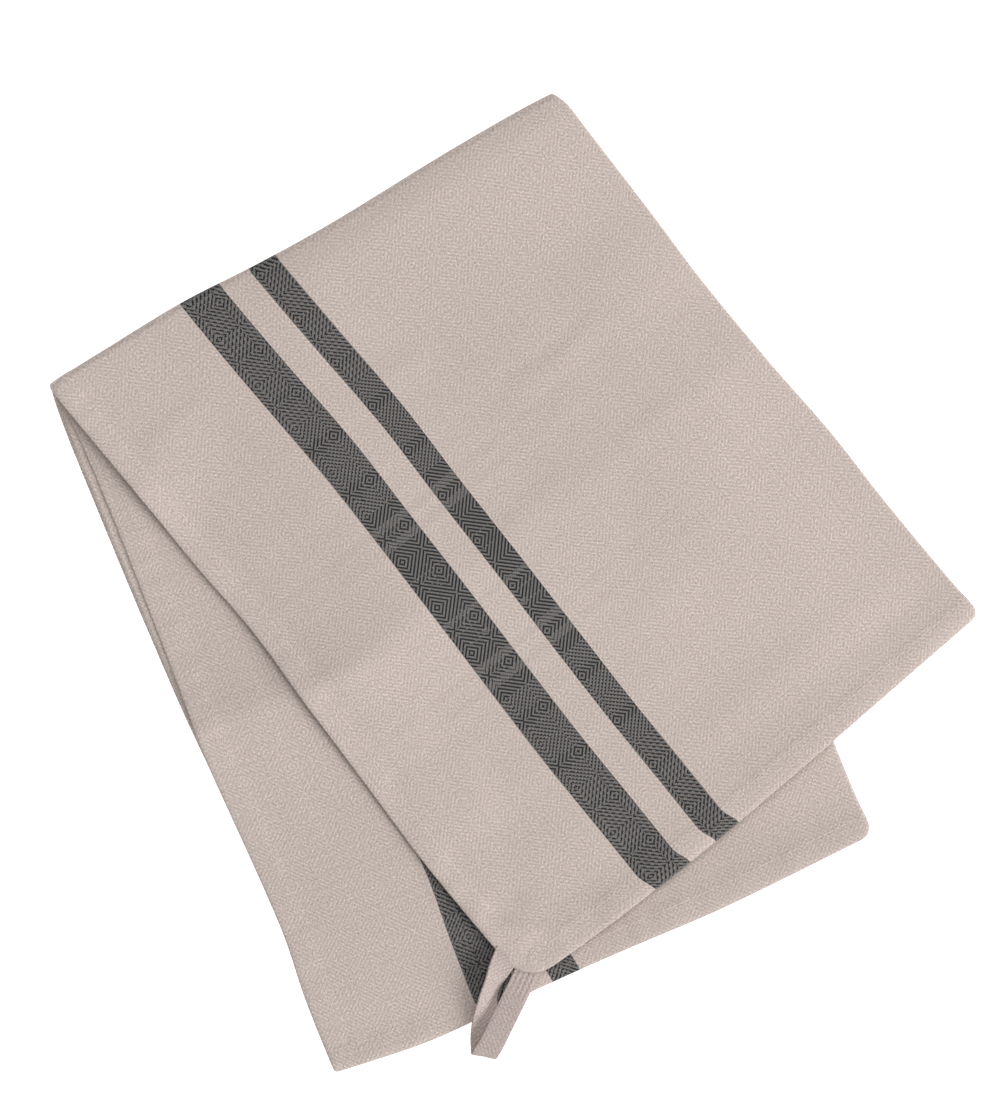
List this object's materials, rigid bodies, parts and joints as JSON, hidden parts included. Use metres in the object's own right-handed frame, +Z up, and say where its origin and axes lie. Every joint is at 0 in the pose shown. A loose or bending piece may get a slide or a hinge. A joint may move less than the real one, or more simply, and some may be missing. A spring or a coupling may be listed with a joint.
{
  "type": "tea towel",
  "caption": "Goose-eye twill tea towel with dark lengthwise stripes, folded in half and then across on a slant, with a tape hanging loop at one corner.",
  "frame": {"origin": "on the surface the towel lies on, under the middle of its outline", "axes": "+Z up; +Y along the upper half's stripes, from its hem towards the slanted fold; +X towards the lengthwise fold"},
  "size_m": [0.3724, 0.4064, 0.0127],
  "materials": {
    "woven_cloth": "matte goose-eye twill, taupe with charcoal stripes",
    "loop_tape": "matte woven tape"
  },
  "bodies": {
    "root": {"towel_cloth": "woven_cloth", "hanging_loop": "loop_tape"}
  },
  "joints": []
}
